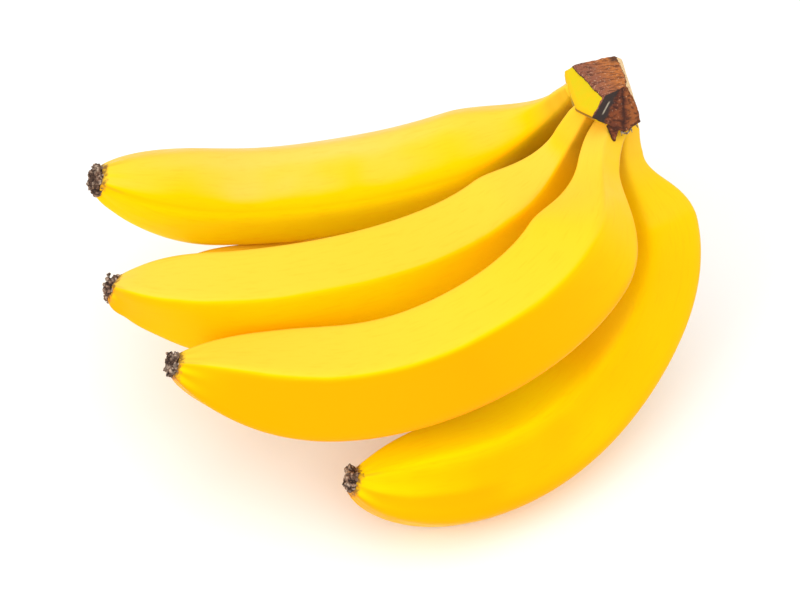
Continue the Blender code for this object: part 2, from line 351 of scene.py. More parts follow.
# %% A short way to write node networks
class Finish:
    def __init__(self, name, roughness):
        self.material = bpy.data.materials.new(name)
        self.material.use_nodes = True
        self.tree = self.material.node_tree
        self.shader = self.tree.nodes["Principled BSDF"]
        self.shader.inputs["Roughness"].default_value = roughness
        self.place = self.add("ShaderNodeTexCoord").outputs["Object"]

    def add(self, kind, inputs=None, **settings):
        made = self.tree.nodes.new(kind)
        for key, value in settings.items():
            setattr(made, key, value)
        for key, value in (inputs or {}).items():
            self.put(made.inputs[key], value)
        return made

    def put(self, socket, value):
        if isinstance(value, bpy.types.NodeSocket):
            self.tree.links.new(value, socket)
        else:
            socket.default_value = value

    def stored(self, name):
        """A number that the mesh holds for each point."""
        return self.add("ShaderNodeAttribute", attribute_name=name).outputs["Fac"]

    def math(self, operation, first, second=0.0, clamp=False):
        made = self.add("ShaderNodeMath", {0: first, 1: second}, operation=operation, use_clamp=clamp)
        return made.outputs[0]

    def noise(self, scale, detail=3.0, where=None, distortion=0.0):
        """Noise from 0 to 1; scale is in lumps per metre."""
        made = self.add("ShaderNodeTexNoise", {
            "Vector": where or self.place, "Scale": scale, "Detail": detail, "Distortion": distortion,
        })
        return made.outputs["Fac"]

    def range(self, value, start, end, low=0.0, high=1.0):
        """Maps start..end to low..high, smoothly and within those limits."""
        made = self.add("ShaderNodeMapRange", {
            "Value": value, "From Min": start, "From Max": end, "To Min": low, "To Max": high,
        }, interpolation_type="SMOOTHSTEP")
        return made.outputs["Result"]

    def mix(self, share, first, second):
        made = self.add("ShaderNodeMix", {0: share, 6: first, 7: second}, data_type="RGBA")
        return made.outputs[2]

    def bump(self, height, distance_mm, strength=1.0):
        made = self.add("ShaderNodeBump", {
            "Height": height, "Distance": distance_mm * MM, "Strength": strength,
        })
        self.put(self.shader.inputs["Normal"], made.outputs["Normal"])

    def colour(self, colour):
        self.put(self.shader.inputs["Base Color"], colour)
        print(self.material.name, "has", len(self.tree.nodes), "nodes")
        return self.material


# %% [markdown]
# ## Banana peel
#
# A ripe peel is thin, waxy and satin, and its yellow isn't even. Light and shade are painted into it too:
# painted light makes it paler where a fruit faces up, painted shade makes it deeper down its sides, a painted
# fill light turns lemon the sides that neighbouring fruits shade, and olive-tinted painted shade lies under
# the necks. The neck is creamier, and the peel browns where it meets the dried blossom. A painted picture
# would suit one view only. Here named yellows are mixed by numbers stored on the mesh: how far each point
# faces down, which is its belly, and how strong each tint is along this fruit. One noise makes the belly's
# limit wander, for a slow drift of colour. A second gives the faint lengthwise fibres: it reads the cosine
# and sine of the angle round the fruit and the share of its length, so the fibres run along the fruit however
# it bends.

# %% The peel's finish
# Painted light: the pale yellow on the next line, with a little painted sheen in its blue, goes on the sides
# that face up.
PEEL_PAINTED_LIGHT = (0.95, 0.60, 0.12, 1)
PEEL_YELLOW = (0.95, 0.575, 0.001, 1)
# Painted shade: the deep yellow on the next line is painted down the sides that face away from the light.
PEEL_PAINTED_SHADE = (0.96, 0.36, 0.0005, 1)
# Painted fill light: the lemon yellow on the next line lifts sides that neighbouring fruits shade.
PEEL_PAINTED_FILL = (0.96, 0.80, 0.001, 1)
NECK_CREAM = (0.90, 0.55, 0.06, 1)
# Painted shade: the dark olive on the next line is painted under the necks, where they crowd together.
NECK_PAINTED_SHADE = (0.42, 0.25, 0.002, 1)
FIBRE_OCHRE = (0.90, 0.36, 0.002, 1)
PEEL_BROWN = (0.20, 0.085, 0.03, 1)
PEEL_GLOSS = 0.08
GLOSS_TINT = (1.0, 0.8, 0.05, 1)
FIBRE_SCALE = 17.0
FIBRE_LENGTH = 1.6
DRIFT_SCALE = 28.0
PEEL_DRIFT = 0.2
PAINTED_LIGHT_TO = (0.24, 0.12)  # belly where the painted light ends, and up to which it is full
PAINTED_SHADE_FROM = (0.18, 0.42)
PAINTED_SHADE_TO = (0.98, 0.78)  # the painted shade fades back to a quarter where the peel faces straight down
PAINTED_SHADE_LEFT_BELOW = 0.25
NECK_SHADE_FROM = (0.30, 0.60)
NECK_SHADE_ALONG = (0.38, 0.12)  # shares of the length where the painted neck shade ends and is full
NECK_SHADE_STRENGTH = 0.68
CREAM_ALONG = (0.12, 0.0)
CREAM_STRENGTH = 0.45
BROWN_ALONG = (0.993, 1.003)
BROWN_STRENGTH = 0.9


def make_peel():
    peel = Finish("ripe banana peel", 0.42)
    peel.shader.inputs["Specular IOR Level"].default_value = PEEL_GLOSS
    peel.shader.inputs["Specular Tint"].default_value = GLOSS_TINT
    share, belly, ridge = peel.stored("share"), peel.stored("belly"), peel.stored("ridge")
    lengthwise = peel.add("ShaderNodeCombineXYZ", {
        0: peel.stored("turn_x"), 1: peel.stored("turn_y"), 2: peel.math("MULTIPLY", share, FIBRE_LENGTH),
    }).outputs[0]
    fibres = peel.noise(FIBRE_SCALE, 4.0, lengthwise)
    drift = peel.math("MULTIPLY", peel.math("SUBTRACT", peel.noise(DRIFT_SCALE, 2.0), 0.5), PEEL_DRIFT)
    depth = peel.math("ADD", belly, drift)
    # Painted light on the upper sides and painted shade down the sides, each as strong as this fruit's stored
    # share.
    painted_light = peel.math("MULTIPLY", peel.range(depth, *PAINTED_LIGHT_TO), peel.stored("painted_light"))
    painted_shade = peel.math("MULTIPLY", peel.range(depth, *PAINTED_SHADE_FROM), peel.stored("painted_shade"))
    painted_shade = peel.math("MULTIPLY", painted_shade, peel.range(depth, *PAINTED_SHADE_TO, PAINTED_SHADE_LEFT_BELOW, 1.0))
    colour = peel.mix(painted_light, PEEL_YELLOW, PEEL_PAINTED_LIGHT)
    colour = peel.mix(painted_shade, colour, PEEL_PAINTED_SHADE)
    # Painted fill light: the lemon yellow lifts the sides that neighbouring fruits shade.
    colour = peel.mix(peel.stored("painted_fill"), colour, PEEL_PAINTED_FILL)
    colour = peel.mix(peel.range(fibres, 0.48, 0.78, 0.0, 0.16), colour, FIBRE_OCHRE)
    colour = peel.mix(peel.range(share, *CREAM_ALONG, 0.0, CREAM_STRENGTH), colour, NECK_CREAM)
    # Painted shade, olive-tinted, under the necks.
    on_neck = peel.range(share, *NECK_SHADE_ALONG, 0.0, NECK_SHADE_STRENGTH)
    colour = peel.mix(peel.math("MULTIPLY", peel.range(depth, *NECK_SHADE_FROM), on_neck), colour, NECK_PAINTED_SHADE)
    wander = peel.math("MULTIPLY", peel.math("SUBTRACT", peel.noise(700.0), 0.5), 0.02)
    end = peel.math("ADD", share, wander)
    colour = peel.mix(peel.range(end, *BROWN_ALONG, 0.0, BROWN_STRENGTH), colour, PEEL_BROWN)
    on_ridge = peel.range(ridge, 0.8, 1.0, 0.0, 0.2)
    colour = peel.mix(peel.math("MULTIPLY", peel.range(share, 0.95, 0.99), on_ridge), colour, PEEL_BROWN)
    fine = peel.math("MULTIPLY", peel.noise(1400.0, 2.0), 0.3)
    peel.bump(peel.math("ADD", peel.math("MULTIPLY", fibres, 0.7), fine), 0.08, 0.35)
    peel.put(peel.shader.inputs["Roughness"], peel.range(peel.noise(90.0), 0.3, 0.7, 0.36, 0.48))
    return peel.colour(colour)


peel_finish = make_peel()

# %% [markdown]
# ## Growing the fruits
#
# After the loft, each point is drawn in from its circle to the five-sided section. Sculpting by hand could
# give the rest, but not twice the same. So small terms add what a real fruit has: slow swellings a few
# centimetres long, a fine crest along each ridge, and puckers where the peel shrinks on to the blossom end.
# The front fruit also has a short sixth ridge near its blossom end.

# %% Rings, crowded at both ends, and the loft
RING_CROWDING = 0.07
END_RINGS = ((0.5, 0.93), (0.9, 0.78), (1.1, 0.5))  # millimetres beyond the end, and width beside the tip's
print(RINGS + len(END_RINGS), "rings of", ROUND, "points for each fruit")


def ring_stations(fruit):
    """(share, millimetres beyond the end, half thickness) of each ring, closing over the blossom end."""
    for ring in range(RINGS):
        even = ring / (RINGS - 1)
        share = ROOT_SHARE + (1 - ROOT_SHARE) * (even - RING_CROWDING * sin(tau * even) / pi)
        yield share, 0.0, half_thickness(fruit, share)
    for beyond, width in END_RINGS:
        yield 1.0, beyond, fruit["tip"] * width


def loft(name, fruit):
    """Rings along the fruit, bridged into a skin and closed at both ends."""
    place, heading = middle_line(fruit)
    piece = start_piece(name)
    stations = list(ring_stations(fruit))
    for share, beyond, radius in stations:
        bpy.ops.mesh.primitive_circle_add(
            vertices=ROUND, radius=radius * MM, location=place(share) + heading(share) * beyond * MM,
            rotation=square_to(*section_axes(place, heading, share)),
        )
    bpy.ops.mesh.select_all(action="SELECT")
    bpy.ops.mesh.bridge_edge_loops()
    bpy.ops.mesh.select_all(action="DESELECT")
    bpy.ops.mesh.select_non_manifold()
    bpy.ops.mesh.fill_holes(sides=0)
    bpy.ops.mesh.select_all(action="SELECT")
    bpy.ops.mesh.normals_make_consistent(inside=False)
    bpy.ops.object.mode_set(mode="OBJECT")
    return piece, stations


# %% From circles to a fruit
LYING_ON = ("banana_4", "banana_5")  # their backs are pressed flat by the table
# The direction from which the painted light and shade of the peel are reckoned.
PAINTED_LIGHT_FROM = Vector((0.0, 0.35, 0.94)).normalized()
DETAIL_SHARES = ((0.02, 0.2), (1.0, 0.93))  # where swellings and crests come in, and where they go out
CREST_MM = 0.12
CREST_SHARPNESS = 6
SWELLING_MM = 0.45
SWELLING_LENGTH_MM = 38
PUCKER_SHARES = (0.93, 1.0)
PUCKER_MM = 0.12
SLANT_SHARES = ((0.76, 0.92), (1.0, 0.95))
SHORT_RIDGE_ON = "banana_4"
SHORT_RIDGE_ANGLE = 82  # degrees
SHORT_RIDGE_WIDTH = 16
SHORT_RIDGE_MM = 0.9
SHORT_RIDGE_SHARES = ((0.74, 0.86), (1.0, 0.96))


def along(share, coming_in, going_out):
    """1 on a stretch of the fruit, with a smooth start and end."""
    return float(ease(*coming_in, share) * ease(*going_out, share))


def short_ridge(angles, share):
    off_ridge = (np.degrees(angles) - SHORT_RIDGE_ANGLE) / SHORT_RIDGE_WIDTH
    return SHORT_RIDGE_MM * np.exp(-np.abs(off_ridge) ** 1.5) * along(share, *SHORT_RIDGE_SHARES)


def grow_fruit(name, fruit, seed):
    piece, stations = loft(name + "_peel", fruit)
    place, heading = middle_line(fruit)
    points = points_of(piece).reshape(len(stations), ROUND, 3)
    slow = rough(points.reshape(-1, 3), SWELLING_LENGTH_MM, seed).reshape(len(stations), ROUND)
    values = {key: np.zeros((len(stations), ROUND)) for key in ("share", "ridge", "turn_x", "turn_y")}
    for ring, (share, beyond, radius) in enumerate(stations):
        outside, across = (np.array(axis) for axis in section_axes(place, heading, share))
        centre = np.array(place(share) + heading(share) * beyond * MM)
        away = points[ring] - centre
        angles = np.arctan2(away @ across, away @ outside)
        turned = angles - ridge_turn(fruit, share)
        ridge = ridge_nearness(turned, fruit)
        body = along(share, *DETAIL_SHARES)
        near_end = float(ease(*PUCKER_SHARES, share))
        slanting = fruit["slant"] * along(share, *SLANT_SHARES)
        reach = radius * side_reach(turned, fruit) * (1 - slanting * np.maximum(np.cos(angles), 0))
        reach = reach + CREST_MM * ridge**CREST_SHARPNESS * body
        if name == SHORT_RIDGE_ON:
            reach = reach + short_ridge(angles, share)
        reach = reach + SWELLING_MM * slow[ring] * body
        reach = reach + PUCKER_MM * near_end * np.cos(2 * SIDES_OF_A_FRUIT * angles + seed)
        across_part = np.outer(np.cos(angles), outside) + np.outer(np.sin(angles), across)
        points[ring] = centre + across_part * (reach * MM)[:, None]
        values["share"][ring] = share + beyond * MM
        values["ridge"][ring] = ridge
        values["turn_x"][ring] = np.cos(angles)
        values["turn_y"][ring] = np.sin(angles)
    points = points.reshape(-1, 3)
    if name in LYING_ON:
        points[:, 2] = np.maximum(points[:, 2], 0)
    move_points(piece, points)
    belly = (1 - normals_of(piece) @ np.array(PAINTED_LIGHT_FROM)) / 2
    keep_value(piece, "belly", belly)
    # How strong the painted light and painted shade are along this fruit, and where the painted fill light
    # lifts its shaded sides.
    for key in ("painted_light", "painted_shade"):
        values[key] = np.interp(values["share"], COLOUR_SHARES, fruit[key])
    in_shade = ease(*fruit["painted_fill_sides"], belly.reshape(values["share"].shape))
    values["painted_fill"] = in_shade * np.interp(values["share"], COLOUR_SHARES, fruit["painted_fill"])
    for key, value in values.items():
        keep_value(piece, key, value.ravel())
    return finish_piece(piece, peel_finish, "banana_peel", name)


for seed, (name, fruit) in enumerate(FRUITS.items(), start=1):
    grow_fruit(name, fruit, seed)

# %% [markdown]
# ## Dried blossom
#
# The dark end of a banana is what is left of its flower: a crumbly stub, with scraps of dried petal folded
# back over the peel. Noise on a plain ball would look like a berry. So a flattened ball makes the stub,
# flattened lumps make the scraps that lie on the upper side, and a few short cones make the ragged points
# round the rim. A voxel remesh fuses them, and ridged noise of three sizes breaks the whole up. It is pale
# on the crumbs, and its hollows are painted nearly black as painted shade.

# %% The blossom's finish
BLOSSOM_DARK = (0.060, 0.030, 0.018, 1)
BLOSSOM_BROWN = (0.23, 0.13, 0.085, 1)
BLOSSOM_CRUMB = (0.52, 0.38, 0.28, 1)
# Painted shade: the near black on the next line is painted into the hollows.
BLOSSOM_PAINTED_SHADE = (0.022, 0.012, 0.009, 1)


def make_blossom_finish():
    dried = Finish("dried blossom", 0.9)
    dried.shader.inputs["Specular IOR Level"].default_value = 0.2
    crumbs = dried.noise(1100.0, 4.0)
    height = dried.stored("height")
    colour = dried.mix(dried.range(dried.noise(380.0, 3.0), 0.38, 0.62), BLOSSOM_DARK, BLOSSOM_BROWN)
    colour = dried.mix(dried.range(height, 0.35, 0.85, 0.0, 0.9), colour, BLOSSOM_CRUMB)
    # Painted shade: the hollows, low in the stored height and in the crumbs' bumps, are painted nearly black.
    colour = dried.mix(dried.range(height, 0.35, 0.05, 0.0, 0.9), colour, BLOSSOM_PAINTED_SHADE)
    colour = dried.mix(dried.range(crumbs, 0.60, 0.42, 0.0, 0.7), colour, BLOSSOM_PAINTED_SHADE)
    dried.bump(crumbs, 0.3, 0.7)
    return dried.colour(colour)


blossom_finish = make_blossom_finish()

# %% Modifiers, weathering and crumbs
def apply_modifier(piece, kind, **settings):
    deselect()
    bpy.context.view_layer.objects.active = piece
    piece.select_set(True)
    modifier = piece.modifiers.new(kind.title(), kind)
    for key, value in settings.items():
        setattr(modifier, key, value)
    bpy.ops.object.modifier_apply(modifier=modifier.name)


def weather(piece, voxel_mm, smoothing):
    """Even small faces, with rounded edges."""
    apply_modifier(piece, "REMESH", mode="VOXEL", voxel_size=voxel_mm * MM)
    apply_modifier(piece, "SMOOTH", iterations=smoothing, factor=0.5)


def crumble(piece, depth_mm, seed):
    """Breaks a surface into crumbs and stores how far each point stands out."""
    points = points_of(piece)
    crumbs = np.abs(rough(points, 1.5, seed)) + 0.5 * np.abs(rough(points, 0.75, seed + 20))
    height = crumbs + 0.5 * rough(points, 3.2, seed + 40)
    low, high = np.percentile(height, (2, 98))
    height = np.clip((height - low) / (high - low), 0, 1)
    keep_value(piece, "height", height)
    move_points(piece, points + normals_of(piece) * ((height - 0.5) * 2 * depth_mm * MM)[:, None])


# %% [markdown]
# The scraps lie on the side of the end that looks up and forwards. So their places are given in millimetres
# to the right of the fruit's end and above it, for someone who looks down at the hand from the front, with
# the size of each scrap. The rule of a ball gives how far out each lies, so that all of them hug the end.

# %% Where the scraps of each fruit lie
UP_FRONT = Vector((0.0, -0.643, 0.766))  # towards someone who looks down at the hand from the front
PICTURE_UP = Vector((0.0, 0.766, 0.643))
TO_THE_RIGHT = Vector((1.0, 0.0, 0.0))
SCRAPS = {  # to the right, above, half size, in millimetres
    "banana_1": ((-0.3, 3.9, 1.7), (-1.3, 1.6, 2.3), (-1.1, -1.6, 2.8), (1.4, -3.2, 1.8), (-0.6, -4.3, 2.0)),
    "banana_2": (
        (-2.6, 4.9, 0.8), (-2.3, 3.5, 0.9), (-1.7, -0.1, 2.7), (0.4, -0.1, 1.1), (-2.8, -3.2, 1.4),
        (-2.6, -5.1, 0.8),
    ),
    "banana_3": (
        (-2.3, 3.8, 1.5), (0.0, 4.0, 1.2), (-0.2, 2.3, 1.6), (-2.3, 1.6, 1.7), (-2.8, -0.8, 1.3),
        (-2.8, -2.7, 0.8),
    ),
    "banana_4": ((-1.4, 4.1, 1.9), (-0.8, 1.3, 2.6), (-0.8, -1.8, 1.9), (0.7, 2.4, 1.4), (-2.6, -0.4, 1.6)),
    "banana_5": ((-1.1, 3.1, 0.9), (0.6, 1.0, 1.8), (-0.8, -1.8, 1.9)),
}
print("scraps:", {name: len(scraps) for name, scraps in SCRAPS.items()})

# %% Stub, scraps and ragged points
SCRAP_REST = 0.7  # how far out the scraps lie, beside the ball that they hug
SCRAP_FLATNESS = 0.7
STUB_DEPTH_MM = 2.6
STUB_WIDTH = 0.92
STUB_OUT_MM = 0.8  # beyond the end of the middle line
RIM_SHARE = 0.6  # where the points stand, beside the tip's half thickness
POINTS_OF_RIM = 6
POINT_LENGTH_MM = 2.4
POINT_WIDTH_MM = 1.3
POINT_TIP_MM = 0.4
POINT_OUT = 0.4  # a point's middle lies this share of its length outside the rim
CRUMB_MM = 0.45
BLOSSOM_VOXEL_MM = 0.22


def add_stub(piece, centre, forward, rotation, radius_mm):
    """A ball squashed along the fruit, left open in edit mode."""
    bpy.ops.mesh.primitive_uv_sphere_add(
        segments=32, ring_count=16, radius=radius_mm * MM, location=centre, rotation=rotation,
    )
    bpy.ops.object.mode_set(mode="OBJECT")
    points = points_of(piece) - np.array(centre)
    squash = 1 - STUB_DEPTH_MM / radius_mm
    points -= np.outer(points @ np.array(forward), np.array(forward)) * squash
    move_points(piece, points + np.array(centre))
    bpy.ops.object.mode_set(mode="EDIT")


def add_scraps(name, fruit, end):
    """Flat lumps on the upper side of the end."""
    for right, above, half_size in SCRAPS[name]:
        out = SCRAP_REST * max(fruit["tip"] ** 2 - right**2 - above**2, 0) ** 0.5
        bpy.ops.mesh.primitive_ico_sphere_add(
            subdivisions=3, radius=half_size * MM, scale=(1, 1, SCRAP_FLATNESS),
            location=end + (TO_THE_RIGHT * right + PICTURE_UP * above + UP_FRONT * out) * MM,
            rotation=UP_FRONT.to_track_quat("Z", "Y").to_euler(),
        )


def add_points(fruit, centre, outside, across, forward, draw):
    """Short ragged points that lean out from the rim."""
    for number in range(POINTS_OF_RIM):
        angle = radians(fruit["first_side"]) + tau * (number + draw.uniform(-0.3, 0.3)) / POINTS_OF_RIM
        sideways = cos(angle) * outside + sin(angle) * across
        lean = (sideways * draw.uniform(0.3, 1.0) + forward * draw.uniform(0.3, 1.0)).normalized()
        length = POINT_LENGTH_MM * draw.uniform(0.6, 1.25)
        bpy.ops.mesh.primitive_cone_add(
            vertices=12, radius1=POINT_WIDTH_MM * draw.uniform(0.7, 1.1) * MM, radius2=POINT_TIP_MM * MM,
            depth=length * MM, rotation=lean.to_track_quat("Z", "Y").to_euler(),
            location=centre + (sideways * fruit["tip"] * RIM_SHARE + lean * length * POINT_OUT) * MM,
        )


def make_blossom(name, fruit):
    number = int(name[-1])
    place, heading = middle_line(fruit)
    outside, across = section_axes(place, heading, 1)
    forward = heading(1)
    centre = place(1) + forward * STUB_OUT_MM * MM
    piece = start_piece(f"blossom_{number}")
    add_stub(piece, centre, forward, square_to(outside, across), fruit["tip"] * STUB_WIDTH)
    add_scraps(name, fruit, place(1))
    add_points(fruit, centre, outside, across, forward, np.random.default_rng(number))
    bpy.ops.object.mode_set(mode="OBJECT")
    weather(piece, BLOSSOM_VOXEL_MM, 1)
    crumble(piece, CRUMB_MM, number)
    return finish_piece(piece, blossom_finish, "dried_blossom", f"blossom_tip_{number}")


for name, fruit in FRUITS.items():
    make_blossom(name, fruit)

# %% [markdown]
# ## The crown
#
# The crown is the cushion of stalk that all the necks grow from. Its rind is smooth and yellow where it grew,
# and brown where a knife took it off the stem. It starts as a ball that is cut by the same planes as the
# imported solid, which gives its facets. A voxel remesh then spreads even small faces over it, and smoothing
# rounds the edges as skin does, which a bevel on such slanted corners wouldn't.

# %% The crown's planes
CROWN_CENTRE = (74.5, 73.7, 99.5)
CROWN_HALF_WIDTH = 21.0
LEFT_SIDE = ((59.5, 78.7, 104.0), (-0.97, -0.07, -0.24))
LOWER_LEFT = ((62.5, 64.7, 103.6), (-0.90, -0.20, -0.37))
UNDERSIDE = ((67.2, 59.9, 104.3), (-0.40, -0.58, -0.70))
LOWER_RIGHT = ((86.0, 64.7, 97.1), (0.55, -0.61, -0.57))
PAD = ((72.2, 61.5, 112.6), (-0.70, -0.02, 0.71))
BACK = ((71.0, 86.9, 105.8), (-0.22, 0.97, 0.4))
TOP_CUT = ((72.2, 61.5, 112.6), (-0.16, 0.25, 0.95))
FRONT_CUT = ((72.2, 61.5, 112.6), (0.35, -0.62, 0.58))
RIGHT_CUT = ((80.8, 71.8, 111.5), (0.94, 0.13, 0.30))
RIGHT_END = ((84.9, 69.7, 101.2), (0.97, 0.03, 0.19))
SLIVER = ((78.1, 81.5, 109.0), (0.58, 0.28, 0.76))  # flesh shows here, between the top cut and the right
CROWN_PLANES = (
    LEFT_SIDE, LOWER_LEFT, UNDERSIDE, LOWER_RIGHT, PAD, BACK, TOP_CUT, FRONT_CUT, RIGHT_CUT, RIGHT_END,
    SLIVER,
)
print("the crown is cut by", len(CROWN_PLANES), "planes")


def cut_block(name, deeper, swell=1.0):
    """The crown's ball, cut by its planes; deeper gives how many millimetres further in a plane cuts."""
    piece = start_piece(name)
    turn = Vector((0, 0, 1)).rotation_difference(CROWN_LONG_AXIS).to_euler()
    bpy.ops.mesh.primitive_uv_sphere_add(
        segments=48, ring_count=28, radius=CROWN_HALF_WIDTH * MM * swell,
        location=at(CROWN_CENTRE), rotation=turn,
    )
    for plane in CROWN_PLANES:
        direction = Vector(plane[1]).normalized()
        bpy.ops.mesh.select_all(action="SELECT")
        bpy.ops.mesh.bisect(
            plane_co=at(plane[0]) - direction * deeper.get(plane, 0.0) * MM,
            plane_no=direction, use_fill=True, clear_outer=True,
        )
    bpy.ops.object.mode_set(mode="OBJECT")
    return piece


def depth_behind(points, plane):
    """How far each point lies behind a plane, in millimetres."""
    direction = np.array(Vector(plane[1]).normalized())
    return (np.array(at(plane[0])) - points) @ direction / MM


def facing(normals, plane):
    return normals @ np.array(Vector(plane[1]).normalized())


# %% [markdown]
# The pad on the crown's left is greenish yellow and overhangs the necks: a thin dark crease runs under its
# rim, and below that a collar of dried skin stands a little proud. The flesh that the knife bared on the
# right is cream. Edge loops could be slid into place for all this, but a remeshed block has none. So the
# shape follows from how far each point lies below the pad and inside the grown sides, and the same distances
# are stored for the finish.

# %% The rind's finish
RIND_YELLOW = (0.68, 0.52, 0.001, 1)
RIM_YELLOW = (0.82, 0.47, 0.002, 1)
CREASE_BROWN = (0.075, 0.030, 0.010, 1)
LIP_BROWN = (0.27, 0.11, 0.045, 1)
FLESH_CREAM = (0.80, 0.55, 0.27, 1)
RIM_GREY = (0.40, 0.33, 0.25, 1)


def make_rind_finish():
    rind = Finish("crown rind", 0.5)
    rind.shader.inputs["Specular IOR Level"].default_value = PEEL_GLOSS
    streaks = rind.noise(260.0, 3.0)
    colour = rind.mix(rind.range(streaks, 0.35, 0.8, 0.0, 0.45), RIND_YELLOW, RIM_YELLOW)
    colour = rind.mix(rind.stored("rim"), colour, RIM_YELLOW)
    lip = rind.mix(rind.stored("greyed"), LIP_BROWN, RIM_GREY)
    colour = rind.mix(rind.stored("lip"), colour, lip)
    colour = rind.mix(rind.stored("crease"), colour, CREASE_BROWN)
    flesh = rind.mix(rind.range(rind.noise(700.0, 4.0), 0.52, 0.7, 0.0, 0.8), FLESH_CREAM, LIP_BROWN)
    colour = rind.mix(rind.stored("flesh"), colour, flesh)
    rind.bump(rind.noise(600.0, 3.0), 0.12, 0.35)
    return rind.colour(colour)


rind_finish = make_rind_finish()

# %% The rind
CREASE_DEPTH_MM = 1.3
CREASE_WIDTH_MM = 0.45
GROOVE_MM = 0.4
COLLAR_MM = 0.35
LIP_MM = 0.45  # how much further the collar stands out under the front of the pad
NOTCH = (80.7, 67.0, 111.0)  # where the right edge draws in, above the lower part of the cut
NOTCH_MM = 1.3
NOTCH_REACH_MM = 4.0
UNDER_CRUST_MM = 0.5  # the rind ends this far below the two cuts, inside the crust
RIND_VOXEL_MM = 0.4
RIND_UNEVEN_MM = 0.3
RIND_LUMP_MM = 9
AT_SIDE_MM = (2.4, 0.5)  # how far inside the grown sides their marks end, and are full
RIM_MM = (2.2, 0.6)
UNDER_FRONT_MM = (4.0, 0.5)
COLLAR_ENDS_MM = (12.0, 5.0)  # below the pad
COLLAR_BEHIND_MM = (1.0, 4.0)  # behind the front cut
LIP_ENDS_MM = (3.6, 2.0)
FRONT_LIP_MM = (3.2, 1.8)
FRONT_LIP_BELOW = (106.0, 104.0)  # heights between which the lip comes in along the front
FRONT_LIP_STRENGTH = 0.9
GREYED_FROM = (77.0, 80.0)  # to the right of this, the dried lip has turned grey
BARED_MM = (2.4, 1.6)  # how deep the bared flesh ends, and is full


def draw_in_notch(points):
    """The points, with those near the notch moved to the left."""
    far = np.linalg.norm(points - np.array(at(NOTCH)), axis=1) / MM
    return points - np.outer(bell(far, NOTCH_REACH_MM), (NOTCH_MM * MM, 0, 0))


rind = cut_block("crown_rind", {TOP_CUT: UNDER_CRUST_MM, FRONT_CUT: UNDER_CRUST_MM})
weather(rind, RIND_VOXEL_MM, 4)
points, normals = points_of(rind), normals_of(rind)
below_pad = depth_behind(points, PAD)
behind_front = depth_behind(points, FRONT_CUT)
inside = np.minimum.reduce([depth_behind(points, plane) for plane in (LEFT_SIDE, LOWER_LEFT, UNDERSIDE)])
at_side = ease(*AT_SIDE_MM, inside)
under_front = ease(*UNDER_FRONT_MM, depth_behind(points, UNDERSIDE))
crease = bell(below_pad - CREASE_DEPTH_MM, CREASE_WIDTH_MM)
collar = ease(CREASE_DEPTH_MM, CREASE_DEPTH_MM + 1.0, below_pad) * (COLLAR_MM + LIP_MM * under_front)
collar *= ease(*COLLAR_ENDS_MM, below_pad) * ease(*COLLAR_BEHIND_MM, behind_front)
relief = rough(points, RIND_LUMP_MM, 61) * RIND_UNEVEN_MM + at_side * (collar - GROOVE_MM * crease)
move_points(rind, draw_in_notch(points + normals * (relief * MM)[:, None]))
keep_value(rind, "crease", at_side * crease * (0.45 + 0.55 * under_front))
keep_value(rind, "rim", ease(*RIM_MM, inside) * ease(CREASE_DEPTH_MM, 0.2, below_pad))
lip_band = ease(CREASE_DEPTH_MM, CREASE_DEPTH_MM + 0.4, below_pad) * ease(*LIP_ENDS_MM, below_pad)
front_lip = ease(*FRONT_LIP_MM, behind_front) * ease(CREASE_DEPTH_MM, CREASE_DEPTH_MM + 0.4, below_pad)
measured = as_measured(points)
front_lip *= ease(*FRONT_LIP_BELOW, measured[:, 2]) * FRONT_LIP_STRENGTH
keep_value(rind, "lip", np.maximum(at_side * lip_band * (0.15 + 0.6 * under_front), front_lip))
keep_value(rind, "greyed", ease(*GREYED_FROM, measured[:, 0]))
bared = np.minimum.reduce([depth_behind(points, plane) for plane in (SLIVER, RIGHT_CUT)])
keep_value(rind, "flesh", ease(*BARED_MM, bared) * ease(0.4, 1.2, behind_front))
finish_piece(rind, rind_finish, "crown_rind", "crown")

# %% [markdown]
# The cut dries to a fibrous brown crust. It could be a bump on the rind, but then its edge would be a drawn
# line. So it is the same block again, a hair larger, of which only the outer layer on the two cut planes is
# kept. Noise that is long across the cut and short along it raises the ends of the fibres as real relief,
# which makes the edge of the crust ragged too. The front of the crust is the darker face: black where sap
# dried against the pad, with a thin pale line painted in as a painted highlight, and rusty to the right of a
# dark seam.

# %% The crust's finish
CUT_MAUVE = (0.27, 0.090, 0.050, 1)
CUT_ORANGE = (0.50, 0.155, 0.030, 1)
CUT_UMBER = (0.085, 0.024, 0.012, 1)
CUT_FLECK = (0.62, 0.38, 0.24, 1)
CUT_RIM = (0.045, 0.018, 0.010, 1)
FRONT_UMBER = (0.115, 0.030, 0.015, 1)
FRONT_RED = (0.21, 0.055, 0.018, 1)
FRONT_DARK = (0.030, 0.010, 0.008, 1)
FRONT_RUST = (0.32, 0.095, 0.024, 1)
SAP_BLACK = (0.032, 0.024, 0.022, 1)
# Painted highlight: the pale colour on the next line is a thin glint painted on the black patch.
PAINTED_GLINT = (0.55, 0.48, 0.36, 1)


